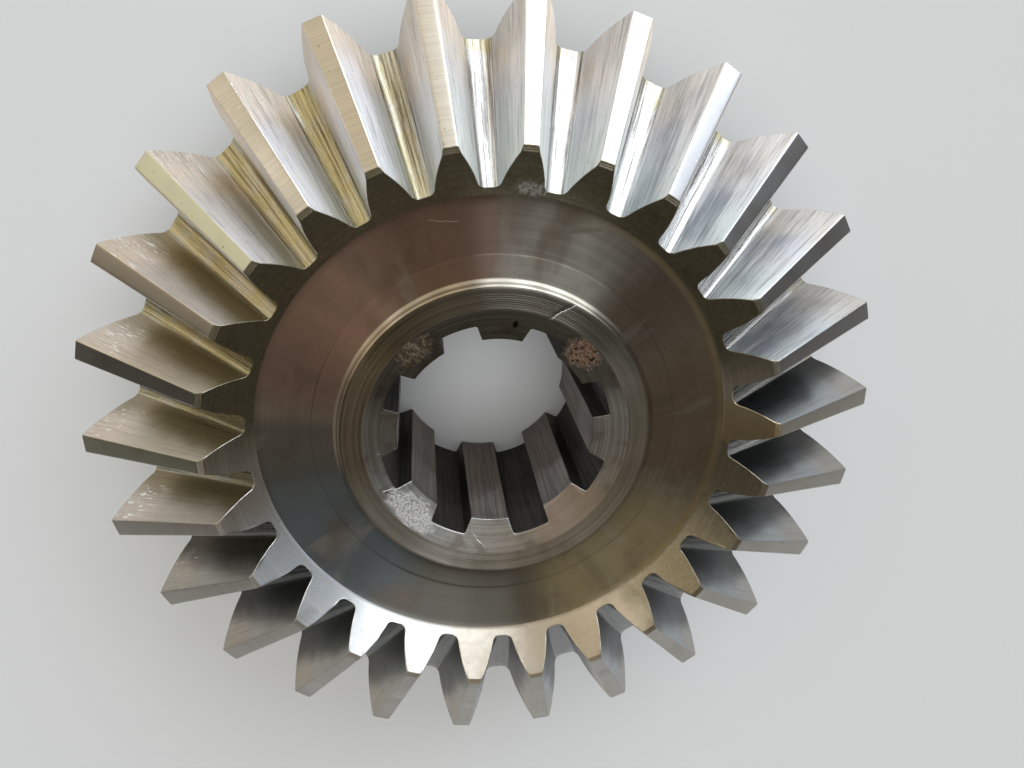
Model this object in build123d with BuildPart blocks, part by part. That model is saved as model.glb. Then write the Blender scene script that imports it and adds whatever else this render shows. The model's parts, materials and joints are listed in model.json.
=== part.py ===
"""Straight bevel gear with an eight-slot splined bore.

The gear is one machined piece of steel. Its axis is Z, the origin is the centre of the back hub
face, and the small end of the teeth points up. One tooth gap and one spline slot are centred on +X.
"""

from build123d import *
from math import acos, atan, cos, pi, radians, sin, tan
import os

# Driving dimensions, in millimetres and degrees.

# Teeth, sized at the heel, which is their large end.
module = 5.5
tooth_count = 26
mate_tooth_count = 17
pressure_angle = 20
addendum = 1.0 * module
dedendum = 1.25 * module
root_fillet = 0.38 * module
tooth_thickness = 7.95
mounting_distance = 70.0
heel_face_angle = 51.0
toe_face_angle = 39.5
toe_height = 41.0
toe_flat_width = 1.0

# Hub and web. Heights are above the back hub face.
hub_height = 37.0
front_hub_radius = 27.9
front_hub_round = 0.4
front_hub_flare = 1.0
ring_radius = 33.0
ring_outer_height = 34.9
ring_inner_height = 35.4
recess_height = 34.5
recess_fillet = 1.0
back_hub_radius = 33.0
back_web_height = 12.0
back_web_fillet = 3.0
edge_chamfer = 1.0

# Straight-sided spline, centred on its minor diameter.
slot_count = 8
spline_minor_radius = 36.0 / 2
spline_major_radius = 42.0 / 2
slot_width = 7.0
slot_corner_fillet = 0.4
bore_chamfer = 0.5
entry_radius = 24.0
entry_angle = 22.5

# Cones that share the pitch apex, as angles from the axis.
pitch_radius = module * tooth_count / 2
pitch_angle = atan(tooth_count / mate_tooth_count)
cone_distance = pitch_radius / sin(pitch_angle)
tip_angle = pitch_angle + atan(addendum / cone_distance)
tip_radius = pitch_radius + addendum * cos(pitch_angle)
heel_tip_height = mounting_distance - tip_radius / tan(tip_angle)

# Virtual spur gear: the bevel tooth's shape, seen along the pitch cone.
virtual_radius = pitch_radius / cos(pitch_angle)
base_radius = virtual_radius * cos(radians(pressure_angle))
gap_half_angle = pi * cos(pitch_angle) / tooth_count
tooth_half_angle = tooth_thickness / 2 / virtual_radius


def involute(angle):
    """The involute function, in radians."""
    return tan(angle) - angle


def flank_point(radius):
    """A point on the gap's right flank: x across the gap, y up from the pitch point."""
    pressure_here = acos(base_radius / radius)
    tooth_angle = tooth_half_angle + involute(radians(pressure_angle)) - involute(pressure_here)
    from_centre = gap_half_angle - tooth_angle
    return (radius * sin(from_centre), radius * cos(from_centre) - virtual_radius)


# The heel, from the tooth tips down to the back of the web.
heel_slope = tan(radians(heel_face_angle))
back_web_radius = tip_radius - (heel_tip_height - back_web_height) / heel_slope

# The toe, from the tips down to the recess.
toe_flat_outer = (mounting_distance - toe_height) * tan(tip_angle)
toe_flat_inner = toe_flat_outer - toe_flat_width
recess_radius = toe_flat_inner - (toe_height - recess_height) / tan(radians(toe_face_angle))

# The cone that leads a shaft into the bore at the front.
entry_depth = (entry_radius - spline_minor_radius) * tan(radians(entry_angle))

# Turned blank: an outline of radius against height, turned round the axis.
with BuildPart() as blank:
    with BuildSketch(Plane.XZ) as outline:
        with BuildLine():
            Polyline(
                (spline_minor_radius, bore_chamfer),
                (spline_minor_radius + bore_chamfer, 0),
                (back_hub_radius - edge_chamfer, 0),
                (back_hub_radius, edge_chamfer),
                (back_hub_radius, back_web_height),
                (back_web_radius, back_web_height),
                (tip_radius, heel_tip_height),
                (toe_flat_outer, toe_height),
                (toe_flat_inner, toe_height),
                (recess_radius, recess_height),
                (ring_radius, recess_height),
                (ring_radius, ring_outer_height),
                (front_hub_radius + front_hub_flare, ring_inner_height),
                (front_hub_radius, hub_height),
                (entry_radius, hub_height),
                (spline_minor_radius, hub_height - entry_depth),
                close=True,
            )
        make_face()
        for radius, height, rounding in [
            (back_hub_radius, back_web_height, back_web_fillet),
            (recess_radius, recess_height, recess_fillet),
            (front_hub_radius, hub_height, front_hub_round),
        ]:
            corner = outline.vertices().sort_by_distance((radius, height, 0))[0]
            fillet(corner, rounding)
    revolve(axis=Axis.Z)


# How far the gap cutter runs past the teeth: its ends as shares of the cone distance, and its top
# as a share of the addendum. Each flank is a curve through this many steps of the involute.
heel_overrun = 1.12
toe_overrun = 0.6
tip_overrun = 1.3
flank_steps = 6


def gap_section(scale):
    """One tooth gap's outline, square to the pitch cone, shrunk towards the apex by scale."""
    reach = cone_distance * scale
    pitch_point = (reach * sin(pitch_angle), 0, mounting_distance - reach * cos(pitch_angle))
    along_cone = (sin(pitch_angle), 0, -cos(pitch_angle))
    lowest = virtual_radius - dedendum
    highest = virtual_radius + addendum * tip_overrun
    radii = [lowest + (highest - lowest) * step / flank_steps for step in range(flank_steps + 1)]
    flank = [(x * scale, y * scale) for x, y in map(flank_point, radii)]
    with BuildSketch(Plane(pitch_point, x_dir=(0, 1, 0), z_dir=along_cone)) as section:
        with BuildLine():
            right = Spline(*flank)
            left = Spline(*[(-x, y) for x, y in flank])
            Line(right @ 0, left @ 0)
            Line(right @ 1, left @ 1)
        make_face()
        fillet(section.vertices().sort_by(Axis.Y)[:2], root_fillet * scale)
    return section.sketch


# Cutter for one gap. Every line of it runs to the pitch apex, so it tapers as the teeth do.
with BuildPart() as gap_cutter:
    add(gap_section(toe_overrun))
    add(gap_section(heel_overrun))
    loft(ruled=True)

# Finished gear: the blank, less the gaps and the spline slots.
with BuildPart() as bevel_gear:
    add(blank.part)
    with PolarLocations(0, tooth_count):
        add(gap_cutter.part, mode=Mode.SUBTRACT)
    with BuildSketch() as slots:
        with PolarLocations(0, slot_count):
            Rectangle(
                2 * spline_major_radius,
                slot_width,
                align=(Align.MIN, Align.CENTER),
            )
        Circle(spline_major_radius, mode=Mode.INTERSECT)
        corners = slots.vertices().group_by(lambda corner: round(corner.center().length, 2))[-1]
        fillet(corners, slot_corner_fillet)
    extrude(amount=hub_height, mode=Mode.SUBTRACT)

os.makedirs("parts", exist_ok=True)
bevel_gear.part.label = "bevel_gear"
export_step(bevel_gear.part, "parts/bevel_gear.step")
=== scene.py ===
"""Looks of the straight bevel gear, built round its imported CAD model.

The gear's shape is worked out in millimetres and becomes metres as its mesh is made.
"""

import json
from math import acos, atan, atan2, cos, hypot, pi, radians, sin, sqrt, tan

import bmesh
import bpy
from mathutils import Matrix, Vector, noise


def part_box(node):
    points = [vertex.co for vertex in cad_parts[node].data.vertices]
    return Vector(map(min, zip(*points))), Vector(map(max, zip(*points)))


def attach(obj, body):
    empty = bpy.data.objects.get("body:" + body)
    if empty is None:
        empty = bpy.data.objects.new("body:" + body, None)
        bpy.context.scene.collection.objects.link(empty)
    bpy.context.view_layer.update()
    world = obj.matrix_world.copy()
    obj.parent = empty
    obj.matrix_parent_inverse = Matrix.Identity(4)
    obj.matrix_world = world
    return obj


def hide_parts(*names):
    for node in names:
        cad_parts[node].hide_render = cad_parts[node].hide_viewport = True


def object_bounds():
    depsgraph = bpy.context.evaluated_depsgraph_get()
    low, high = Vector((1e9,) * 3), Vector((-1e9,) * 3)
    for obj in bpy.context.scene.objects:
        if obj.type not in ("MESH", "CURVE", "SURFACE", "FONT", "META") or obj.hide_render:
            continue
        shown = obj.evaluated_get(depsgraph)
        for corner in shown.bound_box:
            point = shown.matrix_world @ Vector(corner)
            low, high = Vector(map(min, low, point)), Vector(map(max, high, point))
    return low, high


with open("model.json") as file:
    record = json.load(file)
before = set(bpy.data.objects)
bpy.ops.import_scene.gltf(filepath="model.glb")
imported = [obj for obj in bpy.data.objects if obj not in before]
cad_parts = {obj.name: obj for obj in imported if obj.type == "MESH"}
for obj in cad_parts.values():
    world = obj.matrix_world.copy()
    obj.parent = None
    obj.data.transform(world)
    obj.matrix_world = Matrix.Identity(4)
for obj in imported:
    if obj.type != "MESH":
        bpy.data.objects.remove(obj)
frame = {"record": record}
cad_low, cad_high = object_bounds()
MM = 0.001

# Sizes that the frame gives, in millimetres. A tooth points along Y, so the box gives the tip radius.
mounts = {mount["name"]: mount for mount in frame["record"]["mounts"]}
gear_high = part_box("bevel_gear")[1]
tip_radius = gear_high.y / MM
toe_height = gear_high.z / MM
hub_height = mounts["front_hub_face"]["pos_m"][2] / MM
spline_minor_radius = mounts["splined_bore"]["dims"]["r_mm"]

# Teeth. The module follows from the tip radius.
tooth_count = 26
mate_tooth_count = 17
pitch_angle = atan(tooth_count / mate_tooth_count)
module = tip_radius / (tooth_count / 2 + cos(pitch_angle))
pressure_angle = radians(20)
dedendum = 1.25 * module
root_fillet = 0.38 * module
tooth_thickness = 7.95
mounting_distance = 70.0
heel_slope = tan(radians(51.0))
toe_slope = tan(radians(39.5))
toe_flat_width = 1.0

# Hub and web. Heights are above the back hub face.
hub_radius = 27.9
hub_flare = 1.0
ring_radius = 33.0
ring_outer_height = 34.9
ring_inner_height = 35.4
recess_height = 34.5
back_hub_radius = 33.0
back_web_height = 12.0
edge_chamfer = 1.0

# Spline and the cone that leads into it.
slot_count = 8
spline_major_radius = 21.0
slot_half_width = 3.5
slot_corner_fillet = 0.4
bore_chamfer = 0.5
entry_radius = 24.0
entry_slope = tan(radians(22.5))

# Worked out from the above.
apex = Vector((0, 0, mounting_distance))
pitch_radius = module * tooth_count / 2
cone_distance = pitch_radius / sin(pitch_angle)
tip_angle = pitch_angle + atan(module / cone_distance)
root_angle = pitch_angle - atan(dedendum / cone_distance)
heel_tip_height = mounting_distance - tip_radius / tan(tip_angle)
toe_reach = (mounting_distance - toe_height) / cos(tip_angle)
heel_reach = tip_radius / sin(tip_angle)
virtual_radius = pitch_radius / cos(pitch_angle)
base_radius = virtual_radius * cos(pressure_angle)
gap_half_angle = pi * cos(pitch_angle) / tooth_count
tooth_half_angle = tooth_thickness / 2 / virtual_radius
half_pitch = pi / tooth_count
toe_flat_outer = (mounting_distance - toe_height) * tan(tip_angle)
toe_flat_inner = toe_flat_outer - toe_flat_width
recess_radius = toe_flat_inner - (toe_height - recess_height) / toe_slope
back_web_radius = tip_radius - (heel_tip_height - back_web_height) / heel_slope
entry_depth = (entry_radius - spline_minor_radius) * entry_slope

# Faces that the teeth and the splines end on, as (radius, height) outlines from the axis outwards.
toe_face = [
    (recess_radius, recess_height),
    (toe_flat_inner, toe_height),
    (toe_flat_outer, toe_height),
]
heel_face = [(back_web_radius, back_web_height), (tip_radius, heel_tip_height)]
entry_face = [(spline_minor_radius, hub_height - entry_depth), (entry_radius, hub_height)]
back_face = [
    (spline_minor_radius, bore_chamfer),
    (spline_minor_radius + bore_chamfer, 0),
    (back_hub_radius - edge_chamfer, 0),
]

# Rings where the teeth and the splines stop and plain turned faces begin.
toe_ring = recess_radius + 1.1
heel_ring = back_web_radius + 1.5
back_ring = spline_major_radius + 1.0
entry_ring = spline_major_radius + 0.6

# Azimuths in degrees below are as the photograph shows them, counted from its right.
photo_turn = radians(61.65)

# Marks of use and of making. The toe grooves are (radius, depth), the bore's is (distance in, depth).
groove_width = 0.12
toe_flat_grooves = [(toe_flat_inner + 0.3, 0.05), (toe_flat_inner + 0.65, 0.05)]
hub_groove_pitch = 0.38
hub_groove_width = 0.2
hub_groove_depth = 0.06
bore_groove = (1.2, 0.06)
burr_height = 0.16
burr_fineness = 0.9
nick_depth = 0.22
nick_width = 0.32
nick_outer_azimuth = 60
nick_inner_azimuth = 66

# How finely things are drawn, how far sharp edges are rounded and how strongly flat faces stay flat.
turned_steps = 360
root_steps = 2
fillet_steps = 5
flank_steps = 12
corner_steps = 3
land_steps = 3
bore_land_steps = 6
length_steps = 6
profile_steps = 4
tooth_corner = 0.22
end_corner = 0.13
guard_width = 0.25
flat_face_weight = 80


def between(a, b, share):
    return a + (b - a) * share


def bend(start, corner, end, share):
    """A point on the curve that rounds a corner off between start and end."""
    return between(between(start, corner, share), between(corner, end, share), share)


def spread(a, b, steps):
    """Evenly spaced values from a up to, but not including, b."""
    return [between(a, b, step / steps) for step in range(steps)]


def segment_at(face, radius):
    """The two ends of the part of a face's outline that a radius falls on."""
    for inner, outer in zip(face, face[1:]):
        if radius <= outer[0]:
            break
    return inner, outer


def height_on(face, radius):
    """The height of a face at a radius."""
    (r0, z0), (r1, z1) = segment_at(face, radius)
    return z0 + (z1 - z0) * (radius - r0) / (r1 - r0)


def normal_on(face, point):
    """The unit normal of a face where it passes a point, on its upper side."""
    radius = hypot(point.x, point.y)
    (r0, z0), (r1, z1) = segment_at(face, radius)
    slope = (z1 - z0) / (r1 - r0)
    return Vector((-slope * point.x / radius, -slope * point.y / radius, 1)).normalized()


def polar(radius, azimuth, height):
    return Vector((radius * cos(azimuth), radius * sin(azimuth), height))


def seen(azimuth):
    """The gear's own azimuth, in radians, of an azimuth that the photograph shows, in degrees."""
    return radians(azimuth) - photo_turn


def burr(point):
    """How far the ragged burr on a tooth's toe edge stands off at a point."""
    return burr_height * max(0, noise.noise(point * burr_fineness) + 0.1)


def nicked(point):
    """A point of the front hub face, lowered if it lies in the nick."""
    start = polar(hub_radius - 0.3, seen(nick_outer_azimuth), 0)
    end = polar(entry_radius, seen(nick_inner_azimuth), 0)
    along = end - start
    offset = Vector((point.x, point.y, 0)) - start
    share = min(1, max(0, offset.dot(along) / along.length_squared))
    away = (offset - along * share).length
    return point - Vector((0, 0, nick_depth * max(0, 1 - away / nick_width)))


# ---------------------------------------------------------------- outlines of the teeth and splines


def involute(angle):
    return tan(angle) - angle


def flank_point(radius):
    """A point of the gap's flank in the virtual gear: x across the gap, y up from the pitch point."""
    pressure_here = acos(min(1, base_radius / radius))
    tooth_angle = tooth_half_angle + involute(pressure_angle) - involute(pressure_here)
    from_centre = gap_half_angle - tooth_angle
    return Vector((radius * sin(from_centre), radius * cos(from_centre) - virtual_radius))


def on_cone(point):
    """Azimuth and cone angle, seen from the apex, of a point of the virtual gear's plane."""
    radius = pitch_radius + point.y * cos(pitch_angle)
    depth = cone_distance * cos(pitch_angle) - point.y * sin(pitch_angle)
    return Vector((atan2(point.x, radius), atan(hypot(radius, point.x) / depth)))


def solve(function, low, high):
    """Where a rising function crosses zero."""
    for _ in range(50):
        middle = (low + high) / 2
        low, high = (low, middle) if function(middle) > 0 else (middle, high)
    return middle


def fillet_centre(radius):
    """The centre of a circle as big as the root fillet that touches the flank at a radius."""
    step = 0.001
    along = (flank_point(radius + step) - flank_point(radius - step)).normalized()
    return flank_point(radius) + Vector((-along.y, along.x)) * root_fillet


def half_tooth_outline():
    """From the middle of a gap to the middle of the tooth: azimuths, cone angles and finishes."""
    lowest = virtual_radius - dedendum
    highest = virtual_radius + 2 * module
    touch = solve(lambda r: fillet_centre(r).y + dedendum - root_fillet, lowest, highest)
    tip = solve(lambda r: on_cone(flank_point(r)).y - tip_angle, lowest, highest)
    below_tip = tip - tooth_corner
    centre = fillet_centre(touch)
    contact = flank_point(touch) - centre
    end_turn = atan2(contact.x, -contact.y)
    tip_corner = on_cone(flank_point(tip))
    land_start = tip_corner + Vector((tooth_corner / tip_radius, 0))
    points = [(on_cone(Vector((x, -dedendum))), "root") for x in spread(0, centre.x, root_steps)]
    for turn in spread(0, end_turn, fillet_steps):
        around = Vector((sin(turn), -cos(turn))) * root_fillet
        points.append((on_cone(centre + around), "root" if turn < end_turn / 2 else "flank"))
    for radius in spread(touch, below_tip, flank_steps):
        points.append((on_cone(flank_point(radius)), "flank"))
    for share in spread(0, 1, corner_steps):
        rounded = bend(on_cone(flank_point(below_tip)), tip_corner, land_start, share)
        points.append((rounded, "flank" if share < 0.5 else "land"))
    for azimuth in spread(land_start.x, half_pitch, land_steps):
        points.append((Vector((azimuth, tip_angle)), "land"))
    return points, (Vector((half_pitch, tip_angle)), "land")


def full_circle(half, middle, spacing):
    """Repeats a half outline, then its mirror image, all the way round. Finishes are per step."""
    count = round(2 * pi / spacing)
    steps = [step for _, step in half]
    there = [point for point, _ in half] + [middle[0]]
    back = [Vector((spacing - point.x, point.y)) for point in there[:0:-1]]
    one = there[:-1] + back
    finishes = steps + steps[::-1]
    turned = [Vector((p.x + spacing * k, p.y)) for k in range(count) for p in one]
    return turned, finishes * count


def half_slot_outline():
    """From the middle of a slot to the middle of the next land, as azimuths, radii and finishes."""

    def at(x, y):
        return Vector((atan2(y, x), hypot(x, y)))

    floor_x = sqrt(spline_major_radius**2 - slot_half_width**2)
    land_x = sqrt(spline_minor_radius**2 - slot_half_width**2)
    floor_corner = at(floor_x, slot_half_width)
    land_corner = at(land_x, slot_half_width)
    floor_end = Vector((floor_corner.x - slot_corner_fillet / spline_major_radius, spline_major_radius))
    wall_start = at(floor_x - slot_corner_fillet, slot_half_width)
    wall_end = at(land_x + end_corner, slot_half_width)
    land_start = Vector((land_corner.x + end_corner / spline_minor_radius, spline_minor_radius))
    points = [(Vector((a, spline_major_radius)), "slot") for a in spread(0, floor_end.x, land_steps)]
    points += [(bend(floor_end, floor_corner, wall_start, s), "slot") for s in spread(0, 1, corner_steps)]
    wall = spread(floor_x - slot_corner_fillet, land_x + end_corner, land_steps)
    points += [(at(x, slot_half_width), "slot") for x in wall]
    points += [(bend(wall_end, land_corner, land_start, s), "bore") for s in spread(0, 1, corner_steps)]
    middle = pi / slot_count
    land = spread(land_start.x, middle, bore_land_steps)
    points += [(Vector((a, spline_minor_radius)), "bore") for a in land]
    return points, (Vector((middle, spline_minor_radius)), "bore")


# ---------------------------------------------------------------- rows of points round the gear


def meet(cone_angle, face):
    """Radius and height where a line from the apex at this angle to the axis meets a face."""
    slope = tan(cone_angle)

    def beyond(point):
        return point[0] - (mounting_distance - point[1]) * slope

    for start, end in zip(face, face[1:]):
        if beyond(end) > 0:
            break
    share = beyond(start) / (beyond(start) - beyond(end))
    return between(start[0], end[0], share), between(start[1], end[1], share)


def side_normals(corners, sides, outward):
    """Unit normals of a swept side, from its edge points and the directions it is swept in."""
    normals = []
    for i, side in enumerate(sides):
        along = corners[(i + 1) % len(corners)] - corners[i - 1]
        normals.append((side.cross(along) * outward).normalized())
    return normals


def edge_rows(corners, sides, normals, face, up, lifts=None):
    """Rows that round an edge off, from the end face to the swept side. Lifts raise burrs on it."""
    rows = [[] for _ in range(corner_steps + 1)]
    for i, (corner, side, normal) in enumerate(zip(corners, sides, normals)):
        facing = normal_on(face, corner) * up
        inward = (facing * normal.dot(facing) - normal).normalized()
        on_face = corner + inward * end_corner
        on_face.z = height_on(face, hypot(on_face.x, on_face.y))
        on_side = corner + side * end_corner
        lift = (facing + normal).normalized() * (lifts[i] if lifts else 0)
        for step, row in enumerate(rows):
            share = step / corner_steps
            row.append(bend(on_face, corner, on_side, share) + lift * (4 * share * (1 - share)))
    return rows


def face_rows(edge, face, ring, steps, breaks=()):
    """Rows on an end face from its edge to a ring. Breaks are extra rows (radius, depth) on the way in."""
    last = min((radius for radius, _ in breaks), default=None)
    spots = [(hypot(p.x, p.y), atan2(p.y, p.x)) for p in edge]
    rows = []
    for limit, depth in breaks:
        rows.append([(min(r, limit), a, depth if r > limit else 0) for r, a in spots])
    for step in range(1, steps + 1):
        share = step / steps
        rows.append([(between(min(r, last or r), ring, share), a, 0) for r, a in spots])
    return [[polar(r, a, height_on(face, r) - depth) for r, a, depth in row] for row in rows]


def groove(middle, depth):
    """The three rows (radius, depth) of a groove, from outside in."""
    return [(middle + groove_width / 2, 0), (middle, depth), (middle - groove_width / 2, 0)]


def turned_row(radius, height):
    return [polar(radius, 2 * pi * step / turned_steps, height) for step in range(turned_steps)]


def rounded_profile(corners):
    """(radius, height) points along an outline whose corners (radius, height, rounding) are rounded."""
    spots = [Vector(corner[:2]) for corner in corners]
    points = [spots[0]]
    for before, here, after, corner in zip(spots, spots[1:], spots[2:], corners[1:]):
        reach = corner[2]
        if reach:
            back = (before - here).normalized()
            on = (after - here).normalized()
            if (before - here).length > 2 * (reach + guard_width):
                points.append(here + back * (reach + guard_width))
            for step in range(profile_steps + 1):
                points.append(bend(here + back * reach, here, here + on * reach, step / profile_steps))
            if (after - here).length > 2 * (reach + guard_width):
                points.append(here + on * (reach + guard_width))
        else:
            points.append(here)
    points.append(spots[-1])
    return points


# ---------------------------------------------------------------- the gear's mesh


class Skin:
    """A closed mesh made of rows of points, each joined to the next."""

    def __init__(self):
        self.rows = []

    def add(self, points, finish):
        """A row, and the finish of the strip from it to the next row: a name, or one name per step."""
        names = finish if isinstance(finish, list) else [finish] * len(points)
        self.rows.append((points, names))

    def mesh(self, name, materials):
        slots = list(materials)
        places, numbers, faces, face_slots = [], {}, [], []

        def number(point):
            key = tuple(round(value, 5) for value in point)
            if key not in numbers:
                numbers[key] = len(places)
                places.append(point * MM)
            return numbers[key]

        def add_face(points, finish):
            corners = list(dict.fromkeys(number(point) for point in points))
            if len(corners) > 2:
                faces.append(corners)
                face_slots.append(slots.index(finish))

        for (here, names), (there, _) in zip(self.rows, self.rows[1:] + self.rows[:1]):
            if len(here) == len(there):
                for i, finish in enumerate(names):
                    j = (i + 1) % len(here)
                    add_face((here[i], there[i], there[j], here[j]), finish)
            else:
                self.stitch(here, there, names, add_face)
        mesh = bpy.data.meshes.new(name)
        mesh.from_pydata(places, [], faces)
        mesh.polygons.foreach_set("material_index", face_slots)
        mesh.polygons.foreach_set("use_smooth", [True] * len(faces))
        for material in materials.values():
            mesh.materials.append(material)
        mesh.update()
        return mesh

    def stitch(self, here, there, names, add_face):
        """Joins two rows with different numbers of points by triangles."""

        def azimuths(row):
            return [atan2(p.y, p.x) % (2 * pi) if k else 0 for k, p in enumerate(row)] + [2 * pi]

        a, b = azimuths(here), azimuths(there)
        i = j = 0
        while i < len(here) or j < len(there):
            on_here, on_there = here[i % len(here)], there[j % len(there)]
            if j == len(there) or (i < len(here) and a[i + 1] <= b[j + 1]):
                add_face((on_here, on_there, here[(i + 1) % len(here)]), names[0])
                i += 1
            else:
                add_face((on_here, on_there, there[(j + 1) % len(there)]), names[0])
                j += 1


def add_teeth(skin):
    outline, finishes = full_circle(*half_tooth_outline(), 2 * half_pitch)
    sides = [polar(sin(p.y), p.x, -cos(p.y)) for p in outline]
    toe = [meet(p.y, toe_face) for p in outline]
    heel = [meet(p.y, heel_face) for p in outline]
    toe_corners = [polar(radius, p.x, height) for (radius, height), p in zip(toe, outline)]
    heel_corners = [polar(radius, p.x, height) for (radius, height), p in zip(heel, outline)]
    normals = side_normals(toe_corners, sides, 1)
    toe_edge = edge_rows(toe_corners, sides, normals, toe_face, 1, [burr(p) for p in toe_corners])
    heel_edge = edge_rows(heel_corners, [-side for side in sides], normals, heel_face, -1)
    toe_breaks = [row for middle, depth in reversed(toe_flat_grooves) for row in groove(middle, depth)]
    toe_breaks += [(toe_flat_inner + shift, 0) for shift in (0.1, 0, -0.1)]
    for row in reversed(face_rows(toe_edge[0], toe_face, toe_ring, 5, toe_breaks)):
        skin.add(row, "toe")
    for row in toe_edge[:-1]:
        skin.add(row, "toe")
    start, end = toe_edge[-1], heel_edge[-1]
    for share in spread(0, 1, length_steps):
        skin.add([between(p, q, share) for p, q in zip(start, end)], finishes)
    for row in heel_edge[:0:-1]:
        skin.add(row, "heel")
    skin.add(heel_edge[0], "heel")
    for row in face_rows(heel_edge[0], heel_face, heel_ring, 4):
        skin.add(row, "heel")


def add_bore(skin):
    outline, finishes = full_circle(*half_slot_outline(), 2 * pi / slot_count)
    down = Vector((0, 0, -1))
    sides = [down] * len(outline)
    front = [polar(p.y, p.x, height_on(entry_face, p.y)) for p in outline]
    back = [polar(p.y, p.x, height_on(back_face, p.y)) for p in outline]
    normals = side_normals(front, sides, -1)
    front_edge = edge_rows(front, sides, normals, entry_face, 1)
    back_edge = edge_rows(back, [-side for side in sides], normals, back_face, -1)
    for row in reversed(face_rows(back_edge[0], back_face, back_ring, 3)):
        skin.add(row, "back")
    for row in back_edge[:-1]:
        skin.add(row, "back")
    start, end = back_edge[-1], front_edge[-1]
    for share in spread(0, 1, length_steps):
        skin.add([between(p, q, share) for p, q in zip(start, end)], finishes)
    for distance, cut in groove(*bore_groove):
        skin.add([q + down * distance + Vector((q.x, q.y, 0)).normalized() * cut for q in end], finishes)
    for row in front_edge[:0:-1]:
        skin.add(row, "entry")
    skin.add(front_edge[0], "entry")
    for row in face_rows(front_edge[0], entry_face, entry_ring, 4):
        skin.add(row, "entry")


def add_turned(skin, corners, finishes):
    """Rows along a turned outline. The finishes are (name, radius from which it holds)."""
    for point in rounded_profile(corners):
        name = next(name for name, limit in finishes if point.x >= limit)
        skin.add([nicked(p) for p in turned_row(point.x, point.y)], name)


def back_outline():
    return [
        (heel_ring - 0.4, height_on(heel_face, heel_ring - 0.4), 0),
        (back_web_radius, back_web_height, 0.4),
        (back_hub_radius, back_web_height, 3.0),
        (back_hub_radius, edge_chamfer, 0.15),
        (back_hub_radius - edge_chamfer, 0, 0.15),
        (back_ring + 0.4, 0, 0),
    ]


def front_outline():
    """From the bore's entry out over the grooved hub face and the recess to the teeth."""
    first_groove = entry_radius + 0.45
    groove_count = int((hub_radius - 0.6 - first_groove) / hub_groove_pitch)
    grooves = []
    for number in range(groove_count):
        radius = first_groove + number * hub_groove_pitch
        grooves.append((radius, hub_height, 0))
        grooves.append((radius + hub_groove_width / 2, hub_height - hub_groove_depth, 0))
        grooves.append((radius + hub_groove_width, hub_height, 0))
    return [
        (entry_ring + 0.3, height_on(entry_face, entry_ring + 0.3), 0),
        (entry_radius, hub_height, 0.15),
        *grooves,
        (hub_radius, hub_height, 0.4),
        (hub_radius + hub_flare, ring_inner_height, 0.3),
        (ring_radius, ring_outer_height, 0.12),
        (ring_radius, recess_height, 0.12),
        (recess_radius, recess_height, 0.8),
        (toe_ring - 0.3, height_on(toe_face, toe_ring - 0.3), 0),
    ]


def store_edges(mesh):
    """Gives each vertex a number for its wear: above 0.5 on an edge and below 0.5 in a corner."""
    body = bmesh.new()
    body.from_mesh(mesh)
    body.normal_update()
    layer = body.verts.layers.float.new("edges")
    angles = []
    for vertex in body.verts:
        ways = [(edge.other_vert(vertex).co - vertex.co).normalized() for edge in vertex.link_edges]
        angles.append(acos(sum(ways, Vector()).dot(vertex.normal) / len(ways)) / pi)
    for vertex in body.verts:
        around = [angles[edge.other_vert(vertex).index] for edge in vertex.link_edges]
        vertex[layer] = (angles[vertex.index] + sum(around)) / (1 + len(around))
    body.to_mesh(mesh)
    body.free()


def gear_mesh(materials):
    skin = Skin()
    add_teeth(skin)
    add_turned(skin, back_outline(), [("back", 0)])
    add_bore(skin)
    front_finishes = [("toe", recess_radius), ("recess", hub_radius + 0.05), ("hub", entry_radius)]
    add_turned(skin, front_outline(), front_finishes + [("entry", 0)])
    mesh = skin.mesh("gear_body", materials)
    store_edges(mesh)
    return mesh


# ---------------------------------------------------------------- materials


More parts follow.
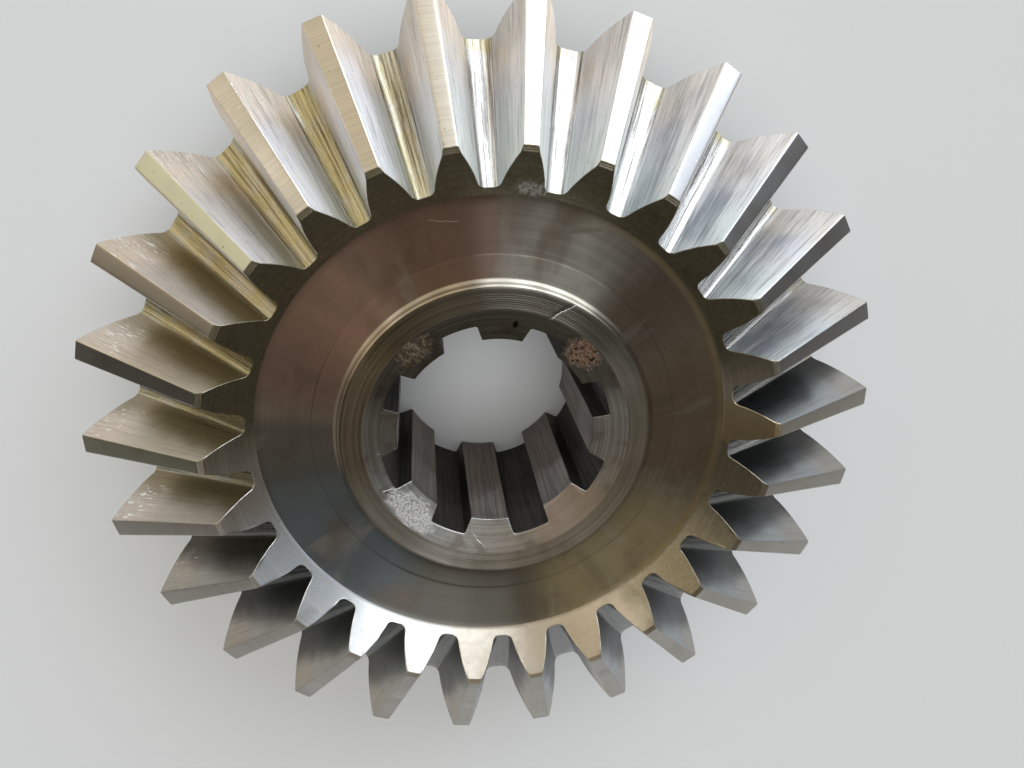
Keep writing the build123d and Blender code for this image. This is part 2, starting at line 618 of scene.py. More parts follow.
class Graph:
    """Short ways to add nodes to a material's or a world's node tree."""

    def __init__(self, tree):
        self.tree = tree

    def node(self, kind, inputs=(), **settings):
        made = self.tree.nodes.new("ShaderNode" + kind)
        for name, value in settings.items():
            setattr(made, name, value)
        for name, value in dict(inputs).items():
            self.feed(made.inputs[name], value)
        return made

    def feed(self, socket, value):
        if isinstance(value, bpy.types.NodeSocket):
            self.tree.links.new(value, socket)
        else:
            socket.default_value = value

    def math(self, operation, *values, clamp=False):
        return self.node("Math", enumerate(values), operation=operation, use_clamp=clamp).outputs[0]

    def vector(self, operation, *values):
        made = self.node("VectorMath", enumerate(values), operation=operation)
        return made.outputs["Value" if operation in ("DOT_PRODUCT", "LENGTH") else "Vector"]

    def scaled(self, vector, by):
        made = self.node("VectorMath", {0: vector, "Scale": by}, operation="SCALE")
        return made.outputs["Vector"]

    def add(self, *values):
        total = values[0]
        for value in values[1:]:
            total = self.math("ADD", total, value)
        return total

    def times(self, *values):
        total = values[0]
        for value in values[1:]:
            total = self.math("MULTIPLY", total, value)
        return total

    def step(self, value, start, end, low=0.0, high=1.0):
        """Goes smoothly from low to high as the value goes from start to end."""
        inputs = {"Value": value, "From Min": start, "From Max": end, "To Min": low, "To Max": high}
        return self.node("MapRange", inputs, interpolation_type="SMOOTHSTEP").outputs["Result"]

    def mix(self, share, a, b, blend="MIX"):
        """Mixes two colours. Its colour sockets are inputs 6 and 7 and output 2."""
        made = self.node("Mix", data_type="RGBA", blend_type=blend)
        self.feed(made.inputs["Factor"], share)
        self.feed(made.inputs[6], a)
        self.feed(made.inputs[7], b)
        return made.outputs[2]

    def noise(self, vector, scale=1.0, detail=3.0, roughness=0.5, w=None):
        inputs = {"Vector": vector, "Scale": scale, "Detail": detail, "Roughness": roughness}
        if w is not None:
            inputs["W"] = w
        dimensions = "4D" if w is not None else "3D"
        return self.node("TexNoise", inputs, noise_dimensions=dimensions).outputs[0]

    def swing(self, noise, *by):
        """Noise moved to lie evenly about zero, times the given values."""
        return self.times(self.add(noise, -0.5), *by)


class Places(Graph):
    """A material's graph with the gear's own coordinates, in millimetres and radians."""

    def __init__(self, material):
        super().__init__(material.node_tree)
        self.material = material
        self.point = self.scaled(self.node("TexCoord").outputs["Object"], 1 / MM)
        x, y, z = self.node("SeparateXYZ", {0: self.point}).outputs
        self.height = z
        self.flat = self.node("CombineXYZ", {0: x, 1: y}).outputs[0]
        self.radius = self.vector("LENGTH", self.flat)
        self.azimuth = self.math("ARCTAN2", y, x)
        self.radial = self.vector("NORMALIZE", self.flat)
        self.around = self.vector("CROSS_PRODUCT", (0, 0, 1), self.radial)
        from_apex = self.vector("SUBTRACT", self.point, apex)
        self.reach = self.vector("LENGTH", from_apex)
        self.generator = self.vector("NORMALIZE", from_apex)
        cone_angle = self.math("ARCCOSINE", self.vector("DOT_PRODUCT", self.generator, (0, 0, -1)))
        self.depth = self.scale_between(cone_angle, tip_angle, root_angle)
        self.along = self.scale_between(self.reach, toe_reach, heel_reach)
        self.normal = self.node("NewGeometry").outputs["Normal"]

    def scale_between(self, value, zero_at, one_at):
        """The value's place between two others, without limits."""
        return self.math("DIVIDE", self.add(value, -zero_at), one_at - zero_at)

    def turned(self, fineness, around):
        """Coordinates whose noise makes rings: fineness is per millimetre, around is per turn."""
        along_profile = self.times(self.add(self.radius, self.height), fineness)
        rings = self.node("CombineXYZ", {2: along_profile}).outputs[0]
        return self.vector("ADD", rings, self.scaled(self.radial, around))

    def streaks(self, fineness, change, detail, roughness):
        """Noise in lines that run to the apex. Change is how fast it varies along them, per millimetre."""
        lines = self.scaled(self.generator, fineness)
        return self.noise(lines, 1.0, detail, roughness, self.times(self.reach, change))

    def sector(self, azimuth, half_width, soft=8):
        """1 within half_width degrees of an azimuth, fading to 0 over the next soft degrees."""
        facing = self.vector("DOT_PRODUCT", self.radial, polar(1, seen(azimuth), 0))
        return self.step(facing, cos(radians(half_width + soft)), cos(radians(half_width)))

    def tinted_sectors(self, colour, tints):
        """A colour with the tints of a table mixed in, one after the other."""
        for azimuth, half_width, soft, share, tint, *blend in tints:
            part = self.times(self.sector(azimuth, half_width, soft), share)
            colour = self.mix(part, colour, tint, *blend)
        return colour

    def spot(self, azimuth, radius, wide, deep, ragged=0.0):
        """1 at a place given in degrees and millimetres, fading to 0 over an oval, seen along the axis."""
        offset = self.vector("SUBTRACT", self.flat, polar(radius, seen(azimuth), 0))
        across = self.vector("DOT_PRODUCT", offset, polar(1, seen(azimuth + 90), 0) / wide)
        outward = self.vector("DOT_PRODUCT", offset, polar(1, seen(azimuth), 0) / deep)
        away = self.math("SQRT", self.add(self.times(across, across), self.times(outward, outward)))
        if ragged:
            rough_edge = self.noise(self.point, 0.9, 4, 0.6)
            away = self.add(away, self.swing(rough_edge, 2 * ragged))
        return self.step(away, 1.0, 0.6)

    def scratch(self, start, end, width):
        """1 along a straight scratch between two places, each (azimuth in degrees, radius)."""
        a = polar(start[1], seen(start[0]), 0)
        b = polar(end[1], seen(end[0]), 0)
        along = (b - a).normalized()
        offset = self.vector("SUBTRACT", self.flat, (a + b) / 2)
        length = self.math("ABSOLUTE", self.vector("DOT_PRODUCT", offset, along))
        side = self.vector("DOT_PRODUCT", offset, Vector((-along.y, along.x, 0)))
        wander = self.swing(self.noise(self.point, 0.6, 2, 0.5), 0.8)
        side = self.math("ABSOLUTE", self.add(side, wander))
        inside = self.step(length, (b - a).length / 2 + 0.3, (b - a).length / 2 - 0.3)
        return self.times(inside, self.step(side, width, width * 0.3))


def tinted(red, green, blue):
    return (red, green, blue, 1)


white_steel = tinted(0.80, 0.80, 0.79)
bright_steel = tinted(0.66, 0.66, 0.64)
mid_steel = tinted(0.50, 0.49, 0.46)
dark_steel = tinted(0.24, 0.23, 0.20)
# Painted reflections of the cool window and the warm wall, for flanks facing each way.
cool_reflection = tinted(0.66, 0.69, 0.73)
warm_reflection = tinted(0.68, 0.64, 0.56)
oil_film = tinted(0.90, 0.82, 0.50)
# Grime; the toe table also multiplies this tone in as painted shade over the top.
grime_and_shade = tinted(0.34, 0.33, 0.24)
rust = tinted(0.12, 0.065, 0.04)

# Tints by sector, most of them painted light: azimuth, half width and soft border in degrees, share, tint
# and a blend if not MIX.
# Painted reflections and sheens of the room on the turned dish.
recess_painted_light = [
    (127, 34, 14, 0.8, tinted(0.44, 0.29, 0.25)),
    (15, 26, 14, 0.8, tinted(0.30, 0.23, 0.17)),
    (213, 22, 14, 0.9, tinted(0.23, 0.28, 0.32)),
    (262, 20, 14, 0.8, tinted(0.20, 0.20, 0.18)),
    (308, 16, 16, 0.8, tinted(0.48, 0.44, 0.29)),
    (181, 6, 6, 0.7, tinted(0.22, 0.21, 0.20)),
]
# Painted light on the toe faces: lighter at the lower right, bluish at the lower left, darker at the right
# and painted shade over the top; the narrow row tints one tooth golden.
toe_light_and_tints = [
    (288, 26, 12, 0.8, tinted(0.74, 0.68, 0.58)),
    (222, 16, 10, 0.5, tinted(0.68, 0.72, 0.75)),
    (332, 22, 12, 0.85, tinted(0.42, 0.40, 0.32), "MULTIPLY"),
    (359.3, 4.5, 2, 0.5, tinted(0.78, 0.64, 0.32)),
    (95, 75, 14, 0.9, grime_and_shade, "MULTIPLY"),
]
# The first row is painted shade on the lands at the right; the others tint single lands.
land_shade_and_tints = [
    (35, 27, 2, 0.85, tinted(0.38, 0.39, 0.42)),
    (137.8, 4, 2, 0.85, tinted(0.66, 0.72, 0.63)),
    (151.6, 4, 2, 0.85, tinted(0.50, 0.47, 0.43)),
    (165.5, 4, 2, 0.85, tinted(0.24, 0.24, 0.22)),
    (179.3, 4, 2, 0.85, tinted(0.46, 0.47, 0.38)),
]


def new_steel(name):
    material = bpy.data.materials.new("steel_" + name)
    material.use_nodes = True
    return Places(material)


def finish_steel(g, lay, colour, roughness, anisotropy, bump, bump_depth, wet=0.0, metal=1.0):
    """Wears the edges, darkens the corners and connects it all. The lay is the tool marks' direction."""
    grain = g.noise(g.point, 1.3, 4, 0.65)
    edges = g.node("Attribute", attribute_name="edges").outputs["Fac"]
    worn = g.times(g.step(edges, 0.53, 0.6), g.step(grain, 0.46, 0.62, 0.05, 0.8))
    # Hollow corners are made darker and rougher.
    in_hollows = g.times(g.step(edges, 0.485, 0.44), g.step(grain, 0.3, 0.6, 0.3, 0.8))
    colour = g.mix(in_hollows, colour, grime_and_shade, "MULTIPLY")
    colour = g.mix(worn, colour, white_steel)
    roughness = g.add(roughness, g.times(in_hollows, 0.15), g.times(worn, -0.05))
    shader = g.tree.nodes["Principled BSDF"]
    relief = g.node("Bump", {"Height": bump, "Distance": bump_depth * MM, "Strength": 1.0}).outputs[0]
    inputs = {
        "Base Color": colour,
        "Metallic": metal,
        "Roughness": roughness,
        "Anisotropic": anisotropy,
        "Normal": relief,
        "Tangent": g.vector("CROSS_PRODUCT", g.normal, lay),
        "Coat Weight": wet,
        "Coat Roughness": 0.12,
    }
    for name, value in inputs.items():
        g.feed(shader.inputs[name], value)
    return g.material


def recess_steel():
    """The dark turned dish and the hub's wall: painted sheens and reflections, painted highlight lines on
    the wall, stains, a smudge and a scratch.
    """
    g = new_steel("recess")
    rings = g.noise(g.turned(1.6, 0.5), 1.0, 5, 0.7)
    radial_streaks = g.noise(g.turned(0.05, 6.0), 1.0, 3, 0.5)
    stains = g.noise(g.point, 0.09, 4, 0.6)
    specks = g.noise(g.point, 1.3, 4, 0.7)
    colour = g.mix(g.step(rings, 0.3, 0.7), tinted(0.46, 0.44, 0.40), tinted(0.35, 0.33, 0.29))
    # Painted reflections and sheens by sector.
    colour = g.tinted_sectors(colour, recess_painted_light)
    # Radial streaks lighten and darken the dish as painted sheens; they also vary its roughness.
    colour = g.mix(g.step(radial_streaks, 0.46, 0.3, 0, 0.35), colour, tinted(0.20, 0.17, 0.14))
    colour = g.mix(g.step(radial_streaks, 0.58, 0.7, 0, 0.5), colour, tinted(0.55, 0.53, 0.48))
    colour = g.mix(g.step(stains, 0.52, 0.7, 0, 0.5), colour, tinted(0.26, 0.20, 0.15))
    # Painted shade over the dish around azimuth 75.
    colour = g.mix(g.times(g.sector(75, 35, 25), 0.85), colour, tinted(0.55, 0.55, 0.53), "MULTIPLY")
    # Painted highlight: two bright lines along the hub's wall on the upper side.
    wall = g.step(g.radius, hub_radius + hub_flare + 0.3, hub_radius + hub_flare)
    from_middle = g.math("ABSOLUTE", g.add(g.radius, -hub_radius - hub_flare / 2))
    lines = g.times(wall, g.step(from_middle, 0.1, 0.22, 0.25, 0.9))
    colour = g.mix(g.times(lines, g.sector(115, 62, 20)), colour, tinted(0.88, 0.85, 0.74))
    rim = g.times(g.step(g.radius, recess_radius - 1.2, recess_radius - 0.3), g.sector(5, 45, 20))
    colour = g.mix(g.times(rim, 0.6), colour, tinted(0.42, 0.35, 0.21))
    smudge = g.scratch((62, 41), (69, 38.5), 0.6)
    colour = g.mix(g.times(smudge, 0.6), colour, tinted(0.16, 0.13, 0.10))
    marks = g.scratch((97, 38.9), (104, 40.2), 0.1)
    pits = g.step(specks, 0.33, 0.27)
    colour = g.mix(g.times(marks, 0.7), colour, tinted(0.7, 0.7, 0.7))
    colour = g.mix(pits, colour, tinted(0.1, 0.08, 0.06))
    roughness = g.add(0.42, g.swing(radial_streaks, 0.25), g.swing(stains, 0.1))
    bump = g.add(rings, g.times(marks, -1.0))
    return finish_steel(g, g.around, colour, roughness, 0.99, bump, 0.004)


def turned_steel(name, shine, shade, roughness, anisotropy, fineness):
    """Steel turned on a lathe, with faint stains. The front hub face has painted shade at its top, a warm
    painted reflection and a nick with a painted shadow and highlight.
    """
    g = new_steel(name)
    rings = g.noise(g.turned(fineness, 0.6), 1.0, 5, 0.75)
    clouds = g.noise(g.point, 0.08, 4, 0.6)
    radial_streaks = g.noise(g.turned(0.15, 5.0), 1.0, 3, 0.5)
    specks = g.noise(g.point, 1.5, 4, 0.7)
    colour = g.mix(g.step(rings, 0.32, 0.68), shine, shade)
    colour = g.mix(g.step(clouds, 0.5, 0.72, 0, 0.5), colour, grime_and_shade, "MULTIPLY")
    colour = g.mix(g.step(specks, 0.36, 0.28, 0, 0.8), colour, dark_steel)
    front = g.step(g.height, hub_height - 1, hub_height - 0.5)
    # Painted shade over the top of the front hub face, and a warm painted reflection near azimuth 155.
    colour = g.mix(g.times(front, g.sector(85, 40, 25), 0.8), colour, tinted(0.3, 0.3, 0.28), "MULTIPLY")
    colour = g.mix(g.times(front, g.sector(155, 30, 20)), colour, tinted(0.72, 0.64, 0.54), "MULTIPLY")
    # Along the nick: a painted shadow on one side and a painted highlight on the other.
    for shift, width, tint in ((0.5, 0.22, tinted(0.1, 0.1, 0.09)), (-0.8, 0.1, white_steel)):
        outer, inner = nick_outer_azimuth + shift, nick_inner_azimuth + shift
        line = g.scratch((outer, hub_radius), (inner, entry_radius), width)
        colour = g.mix(g.times(front, line), colour, tint)
    rough = g.add(roughness, g.swing(radial_streaks, 0.2), g.swing(rings, 0.15))
    bump = g.add(rings, g.times(g.step(specks, 0.36, 0.28), -1.0))
    return finish_steel(g, g.around, colour, rough, anisotropy, bump, 0.008)


def toe_steel():
    """The turned ends of the teeth: faint grime, painted shade at the top, painted light by sector and
    painted bright rings at the lower left.
    """
    g = new_steel("toe")
    rings = g.noise(g.turned(2.4, 0.8), 1.0, 5, 0.75)
    clouds = g.noise(g.point, 0.12, 4, 0.6)
    grain = g.noise(g.point, 1.5, 4, 0.7)
    inner = g.step(g.radius, recess_radius + 2.2, recess_radius + 0.6)
    colour = g.mix(g.step(rings, 0.32, 0.68), tinted(0.80, 0.79, 0.76), tinted(0.60, 0.59, 0.56))
    # Painted light and shade by sector, and one tooth's golden tint.
    colour = g.tinted_sectors(colour, toe_light_and_tints)
    colour = g.mix(g.step(grain, 0.45, 0.62, 0, 0.1), colour, tinted(0.9, 0.9, 0.88))
    colour = g.mix(g.step(clouds, 0.5, 0.72, 0, 0.35), colour, grime_and_shade, "MULTIPLY")
    # Painted highlight on the rings at the lower left; the scuff is wear.
    bright_rings = g.times(inner, g.sector(215, 24, 12), g.step(rings, 0.55, 0.62))
    scuff = g.times(g.spot(80, 44.2, 3.4, 1.5, 0.5), g.step(grain, 0.4, 0.52))
    colour = g.mix(g.add(bright_rings, scuff), colour, tinted(0.80, 0.84, 0.88))
    colour = g.mix(g.step(grain, 0.35, 0.28, 0, 0.8), colour, dark_steel)
    rough = g.add(0.3, g.swing(clouds, 0.2), g.times(scuff, 0.4))
    bump = g.add(rings, g.times(scuff, grain, 5.0), g.times(g.step(grain, 0.35, 0.28), -1.0))
    return finish_steel(g, g.around, colour, rough, 0.5, bump, 0.01)


def flank_steel():
    """The sides of the teeth: streaks that run to the apex, painted shade towards the roots and on the
    lower teeth, painted light, reflections and glints by sector, warm at the heel.
    """
    g = new_steel("flank")
    streaks = g.streaks(150, 0.07, 6, 0.75)
    fine = g.streaks(420, 0.12, 3, 0.6)
    clouds = g.noise(g.point, 0.16, 4, 0.55)
    grain = g.noise(g.point, 1.4, 4, 0.7)
    top = g.sector(75, 50, 25)
    left = g.sector(160, 34, 16)
    lower = g.sector(285, 75, 25)
    # Painted reflection: flanks facing one way take the warm wall's tint, the others the cool window's.
    facing = g.step(g.vector("DOT_PRODUCT", g.normal, g.around), -0.2, 0.2)
    colour = g.mix(facing, warm_reflection, cool_reflection)
    # Painted light: flanks at the top are lighter and cooler.
    colour = g.mix(g.times(top, 0.75), colour, tinted(0.66, 0.68, 0.72))
    heel = g.step(g.add(g.along, g.times(clouds, 0.5)), 0.7, 1.05)
    colour = g.mix(g.times(heel, g.step(facing, 0, 1, 0.9, 0.5)), colour, tinted(0.72, 0.60, 0.48))
    # Painted reflection: a green tint near the toe of the flanks at the top.
    colour = g.mix(g.times(top, g.step(g.along, 0.5, 0.1), 0.5), colour, tinted(0.62, 0.67, 0.61))
    soft = g.noise(g.point, 0.1, 1, 0.5)
    smudges = g.step(soft, 0.4, 0.65)
    smudged = g.times(smudges, g.sector(28, 26, 14), g.step(g.depth, 0.15, 0.4), g.step(g.along, 0.9, 0.6))
    colour = g.mix(g.times(smudged, 0.7), colour, tinted(0.40, 0.42, 0.49), "MULTIPLY")
    # Painted reflections: a pale lavender band mid-flank near azimuth 128, and a warm tint towards the
    # heel on the left.
    middle = g.times(g.step(g.depth, 0.6, 0.35), g.step(g.along, 0.9, 0.6))
    colour = g.mix(g.times(g.sector(128, 24, 12), middle, 0.6), colour, tinted(0.80, 0.81, 0.90))
    colour = g.mix(g.times(left, g.step(g.along, 0.5, 0.8)), colour, tinted(0.84, 0.74, 0.65))
    # Tool-mark streaks, their contrast painted stronger at the top, where the light falls.
    contrast = g.step(top, 0, 1, 0.3, 0.6)
    colour = g.mix(g.times(g.step(streaks, 0.5, 0.6), contrast), colour, white_steel)
    colour = g.mix(g.times(g.step(streaks, 0.47, 0.37), contrast), colour, tinted(0.26, 0.27, 0.28))
    colour = g.mix(g.times(g.step(fine, 0.47, 0.35), contrast), colour, tinted(0.30, 0.31, 0.32))
    patchy = g.add(g.depth, g.swing(clouds, 0.35), g.times(g.along, -0.3))
    shade = g.times(g.step(patchy, 0.05, 0.55), g.step(top, 0, 1, 0.95, 0.15))
    shadow = g.mix(left, tinted(0.16, 0.16, 0.16), tinted(0.42, 0.38, 0.25))
    colour = g.mix(shade, colour, shadow, "MULTIPLY")
    # Painted shade: the lower teeth darken towards the root and the toe, and all lower flanks a little.
    lower_root_shade = g.step(g.add(g.depth, g.times(soft, 0.5), g.times(g.along, -0.45)), 0.1, 0.5)
    colour = g.mix(g.times(lower, lower_root_shade, 0.85), colour, tinted(0.25, 0.25, 0.25), "MULTIPLY")
    colour = g.mix(lower, colour, tinted(0.72, 0.74, 0.74), "MULTIPLY")
    dashes = g.streaks(150, 0.45, 4, 0.6)
    glints = g.times(g.step(dashes, 0.57, 0.63), left, g.step(g.along, 0.6, 0.75))
    glints = g.times(glints, g.step(g.depth, 0.75, 0.5))
    colour = g.mix(glints, colour, tinted(1.0, 0.97, 0.90))
    colour = g.mix(g.step(grain, 0.35, 0.29, 0, 0.9), colour, dark_steel)
    rough = g.add(0.46, g.swing(streaks, contrast, 0.6), g.times(glints, -0.3))
    bump = g.add(g.times(g.add(streaks, g.times(fine, 0.4)), contrast), g.times(glints, grain, 1.5))
    wet = g.times(g.sector(166, 7, 5), heel, 0.9)
    return finish_steel(g, g.generator, colour, rough, 0.85, bump, 0.03, wet)


def root_steel():
    """The floors of the gaps: bright where the light comes from, golden with oil on the left."""
    g = new_steel("root")
    streaks = g.streaks(150, 0.05, 6, 0.75)
    clouds = g.noise(g.point, 0.25, 4, 0.6)
    left = g.sector(150, 42, 12)
    heel = g.step(g.add(g.along, g.swing(clouds, 0.8)), 0.75, 1.0)
    oily = g.math("MAXIMUM", g.times(left, g.step(clouds, 0.3, 0.6, 0.35, 1.0)), g.times(heel, 0.8))
    colour = g.mix(g.step(streaks, 0.4, 0.6), tinted(0.30, 0.30, 0.30), tinted(0.60, 0.60, 0.59))
    colour = g.mix(g.step(streaks, 0.46, 0.38, 0, 0.85), colour, tinted(0.12, 0.11, 0.09))
    colour = g.mix(oily, colour, oil_film, "MULTIPLY")
    lower = g.step(g.sector(90, 100, 20), 0, 1, 0.95, 0)
    colour = g.mix(lower, colour, tinted(0.13, 0.14, 0.13), "MULTIPLY")
    rough = g.add(0.26, g.swing(streaks, 0.4))
    return finish_steel(g, g.generator, colour, rough, 0.7, streaks, 0.05, g.times(oily, 0.6))


def land_steel():
    """The turned tips of the teeth: satin, with lines across them about 0.3 mm apart."""
    g = new_steel("land")
    across = g.node("CombineXYZ", {0: g.times(g.reach, 3.2)}).outputs[0]
    lines = g.noise(g.vector("ADD", across, g.radial), 1.0, 3, 0.6)
    specks = g.noise(g.point, 1.2, 4, 0.7)
    clouds = g.noise(g.point, 0.2, 3, 0.5)
    colour = g.mix(g.step(lines, 0.4, 0.6), tinted(0.63, 0.61, 0.57), tinted(0.56, 0.54, 0.50))
    # Painted shade at the right, and tints of single lands.
    colour = g.tinted_sectors(colour, land_shade_and_tints)
    colour = g.mix(g.step(specks, 0.36, 0.28, 0, 0.9), colour, dark_steel)
    colour = g.mix(g.times(g.step(specks, 0.64, 0.7), g.step(clouds, 0.4, 0.6)), colour, white_steel)
    rough = g.add(0.32, g.swing(clouds, 0.2), g.swing(lines, 0.1))
    return finish_steel(g, g.around, colour, rough, 0.5, lines, 0.004)


def broached_steel(name, shine, shade, roughness):
    """The bore's walls: broached upright lines, darker and browner further down, with a ragged border."""
    g = new_steel(name)
    stretched = g.node("Mapping", {"Vector": g.point, "Scale": (2.5, 2.5, 0.05)}).outputs[0]
    lines = g.noise(stretched, 1.0, 4, 0.65)
    clouds = g.noise(g.point, 0.16, 4, 0.6)
    colour = g.mix(g.step(lines, 0.35, 0.65), shine, shade)
    lower = g.step(g.add(g.height, g.swing(clouds, 14)), 31, 18, 0, 0.9)
    colour = g.mix(lower, colour, tinted(0.40, 0.34, 0.28), "MULTIPLY")
    rough = g.add(roughness, g.swing(lines, 0.3))
    return finish_steel(g, (0.0, 0.0, 1.0), colour, rough, 0.5, lines, 0.02)


def entry_steel():
    """The cone that leads into the bore: turned, then pitted, rusted and torn in places."""
    g = new_steel("entry")
    rings = g.noise(g.turned(2.8, 0.8), 1.0, 5, 0.7)
    grain = g.noise(g.point, 2.2, 5, 0.8)
    coarse = g.noise(g.point, 1.1, 4, 0.7)
    clouds = g.noise(g.point, 0.25, 3, 0.5)
    tears = g.noise(g.vector("ADD", g.scaled(g.radial, 26), g.scaled(g.point, 0.7)), 1.0, 5, 0.8)
    rusty = g.spot(43, 21.6, 3.8, 3.4, 0.6)
    pits = g.add(g.times(rusty, g.step(coarse, 0.47, 0.4)), g.spot(79, 21.2, 0.5, 0.9, 0.3))
    torn = g.spot(128, 21.8, 4.2, 2.6, 0.6)
    granular = g.times(g.spot(220, 21.4, 6.5, 3.0, 0.4), g.step(grain, 0.4, 0.56))
    colour = g.mix(g.step(rings, 0.35, 0.65), tinted(0.56, 0.57, 0.57), tinted(0.32, 0.33, 0.33))
    colour = g.mix(g.step(clouds, 0.5, 0.7, 0, 0.6), colour, tinted(0.24, 0.20, 0.17))
    # Painted warm reflection near azimuth 308, and painted shade over the upper side near azimuth 90.
    colour = g.mix(g.times(g.sector(308, 14, 10), 0.6), colour, tinted(0.52, 0.44, 0.40))
    colour = g.mix(g.times(g.sector(90, 60, 20), 0.8), colour, tinted(0.35, 0.33, 0.28), "MULTIPLY")
    colour = g.mix(granular, colour, tinted(0.85, 0.85, 0.85))
    torn_steel = g.mix(g.step(tears, 0.46, 0.58), tinted(0.26, 0.23, 0.17), tinted(0.78, 0.75, 0.62))
    colour = g.mix(torn, colour, torn_steel)
    colour = g.mix(rusty, colour, g.mix(g.step(grain, 0.4, 0.6), rust, tinted(0.27, 0.19, 0.14)))
    colour = g.mix(pits, colour, tinted(0.03, 0.02, 0.015))
    marks = g.add(g.scratch((262, 22.8), (255, 20.6), 0.1), g.scratch((203, 23), (206, 20.5), 0.1))
    colour = g.mix(marks, colour, white_steel)
    rough = g.add(0.34, g.swing(rings, 0.15), g.times(granular, 0.15), g.times(rusty, 0.3))
    bump = g.add(rings, g.times(granular, grain, 7.0), g.times(rusty, coarse, 8.0))
    bump = g.add(bump, g.times(torn, tears, 8.0), g.times(pits, -8.0), g.times(marks, -3.0))
    metal = g.step(rusty, 0, 1, 1, 0.45)
    return finish_steel(g, g.around, colour, rough, 0.5, bump, 0.012, metal=metal)


def gear_materials():
    return {
        "toe": toe_steel(),
        "recess": recess_steel(),
        "hub": turned_steel("hub", tinted(0.48, 0.46, 0.42), tinted(0.30, 0.29, 0.26), 0.36, 0.98, 2.2),
        "heel": turned_steel("heel", bright_steel, mid_steel, 0.38, 0.6, 2.0),
        "back": turned_steel("back", bright_steel, mid_steel, 0.36, 0.7, 1.6),
        "entry": entry_steel(),
        "flank": flank_steel(),
        "root": root_steel(),
        "land": land_steel(),
        "bore": broached_steel("bore", tinted(0.46, 0.42, 0.39), tinted(0.30, 0.27, 0.25), 0.4),
        # Painted shade: the slots use a much darker copy of the bore's steel.
        "slot": broached_steel("slot", tinted(0.16, 0.15, 0.14), tinted(0.10, 0.10, 0.09), 0.55),
    }


gear = bpy.data.objects.new("gear_body", gear_mesh(gear_materials()))
bpy.context.scene.collection.objects.link(gear)
smoother = gear.modifiers.new("flat_faces", "WEIGHTED_NORMAL")
smoother.weight = flat_face_weight
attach(gear, "root")
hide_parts("bevel_gear")

# ---------------------------------------------------------------- floor, light and camera

floor_reach = 3.0
floor_height = cad_low[2]
floor_colour = tinted(0.56, 0.58, 0.60)
floor_roughness = 0.8
floor_sides = [(-1, -1), (1, -1), (1, 1), (-1, 1)]

floor_mesh = bpy.data.meshes.new("floor")
floor_corners = [(x * floor_reach, y * floor_reach, floor_height) for x, y in floor_sides]
floor_mesh.from_pydata(floor_corners, [], [(0, 1, 2, 3)])
floor = bpy.data.objects.new("floor", floor_mesh)
bpy.context.scene.collection.objects.link(floor)

floor_material = bpy.data.materials.new("pale_floor")
floor_material.use_nodes = True
floor_shader = floor_material.node_tree.nodes["Principled BSDF"]
floor_shader.inputs["Base Color"].default_value = floor_colour
floor_shader.inputs["Roughness"].default_value = floor_roughness
floor_mesh.materials.append(floor_material)


room_colour = (0.095, 0.08, 0.06)
soft_boxes = [
    # azimuth, elevation, width, height, softness, colour, strength
    (46, 18, 22, 48, 0.2, (0.95, 1.0, 1.05), 4.5),
    (74, 18, 26, 48, 0.2, (0.95, 1.0, 1.05), 4.5),
    (52, 47, 26, 16, 0.4, (0.97, 1.0, 1.02), 1.0),
    (12, 45, 36, 28, 0.4, (0.85, 0.95, 1.08), 0.5),
    (130, 22, 74, 54, 0.3, (1.0, 0.85, 0.60), 0.85),
    (140, 45, 3, 50, 0.3, (0.9, 0.97, 1.05), 1.4),
    (130, 84, 56, 56, 0.6, (1.0, 0.80, 0.56), 0.24),
    (262, 56, 44, 26, 0.6, (0.95, 1.0, 1.0), 0.2),
]


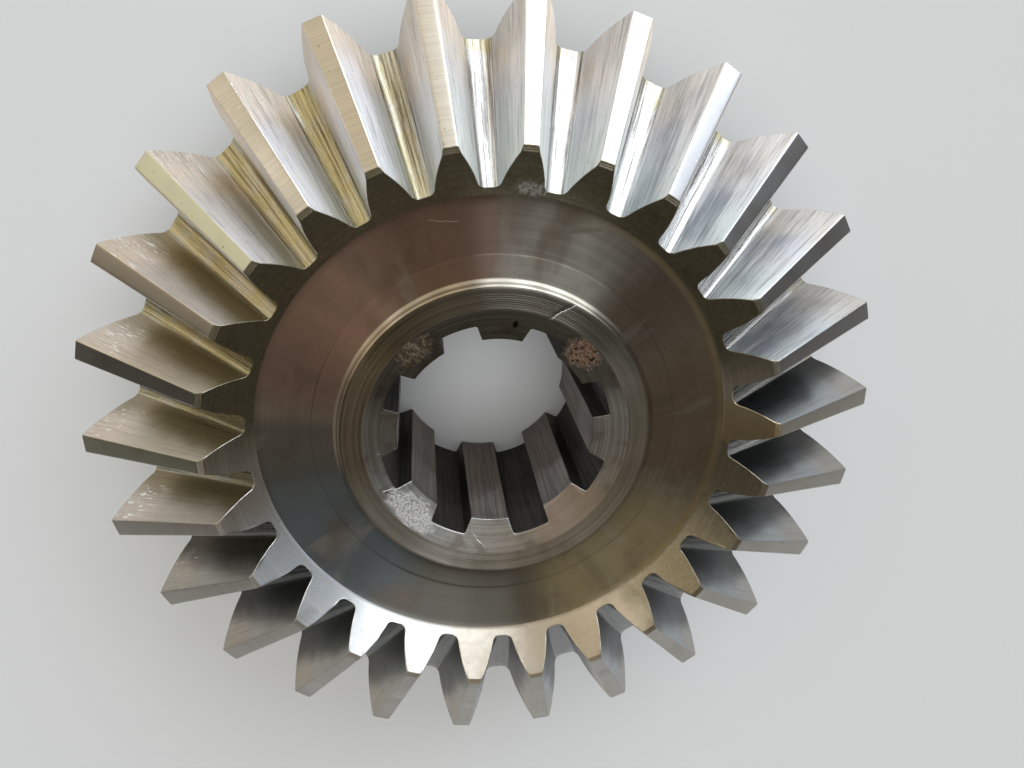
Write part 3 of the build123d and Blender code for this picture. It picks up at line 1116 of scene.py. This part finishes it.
def soft_box(g, direction, azimuth, elevation, width, height, softness):
    """How much of a far-off soft rectangle of light a direction sees, from 0 to 1. Angles in degrees."""
    towards = polar(cos(radians(elevation)), seen(azimuth), sin(radians(elevation)))
    across = polar(1, seen(azimuth + 90), 0)
    upward = towards.cross(across)
    facing = g.vector("DOT_PRODUCT", direction, towards)
    shares = [g.math("GREATER_THAN", facing, 0.05)]
    for axis, size in ((across, width), (upward, height)):
        offset = g.math("ABSOLUTE", g.math("DIVIDE", g.vector("DOT_PRODUCT", direction, axis), facing))
        edge = tan(radians(size / 2))
        shares.append(g.step(offset, edge * (1 + softness), edge * (1 - softness)))
    return g.times(*shares)


def studio_world():
    """Soft light: a white window in two panes, a warm wall, dimmer lights and a dim warm room."""
    world = bpy.data.worlds.new("studio")
    world.use_nodes = True
    g = Graph(world.node_tree)
    direction = g.vector("NORMALIZE", g.node("TexCoord").outputs["Generated"])
    light = room_colour
    for azimuth, elevation, width, height, softness, colour, strength in soft_boxes:
        share = soft_box(g, direction, azimuth, elevation, width, height, softness)
        glow = g.scaled(g.node("CombineXYZ", dict(enumerate(colour))).outputs[0], strength)
        light = g.vector("ADD", light, g.scaled(glow, share))
    background = world.node_tree.nodes["Background"]
    g.feed(background.inputs["Color"], light)
    return world


bpy.context.scene.world = studio_world()
bpy.context.scene.view_settings.view_transform = "Standard"

# A wide lamp straight above, hidden from reflections: it lifts the floor's shadows, also in the bore.
fill_strength = 1.6
fill_spread = radians(50)

fill = bpy.data.lights.new("overhead_fill", "SUN")
fill.energy = fill_strength
fill.angle = fill_spread
overhead = bpy.data.objects.new("overhead_fill", fill)
bpy.context.scene.collection.objects.link(overhead)
overhead.visible_glossy = False

# The camera stands close above the gear, where the photograph's perspective puts it.
camera_place = Vector((49.4, 37.8, 167.2)) * MM
camera_target = Vector((-0.5, -7.8, 0)) * MM
camera_up = Vector((0.851, 0.383, -0.358))
lens_mm = 28.17
sensor_mm = 36
nearest_mm = 5

camera = bpy.data.objects.new("camera", bpy.data.cameras.new("camera"))
bpy.context.scene.collection.objects.link(camera)
camera.data.lens = lens_mm
camera.data.sensor_width = sensor_mm
camera.data.clip_start = nearest_mm * MM
looking = (camera_target - camera_place).normalized()
across = looking.cross(camera_up).normalized()
camera.matrix_world = Matrix.Translation(camera_place) @ Matrix(
    (across, across.cross(looking), -looking)
).transposed().to_4x4()
bpy.context.scene.camera = camera
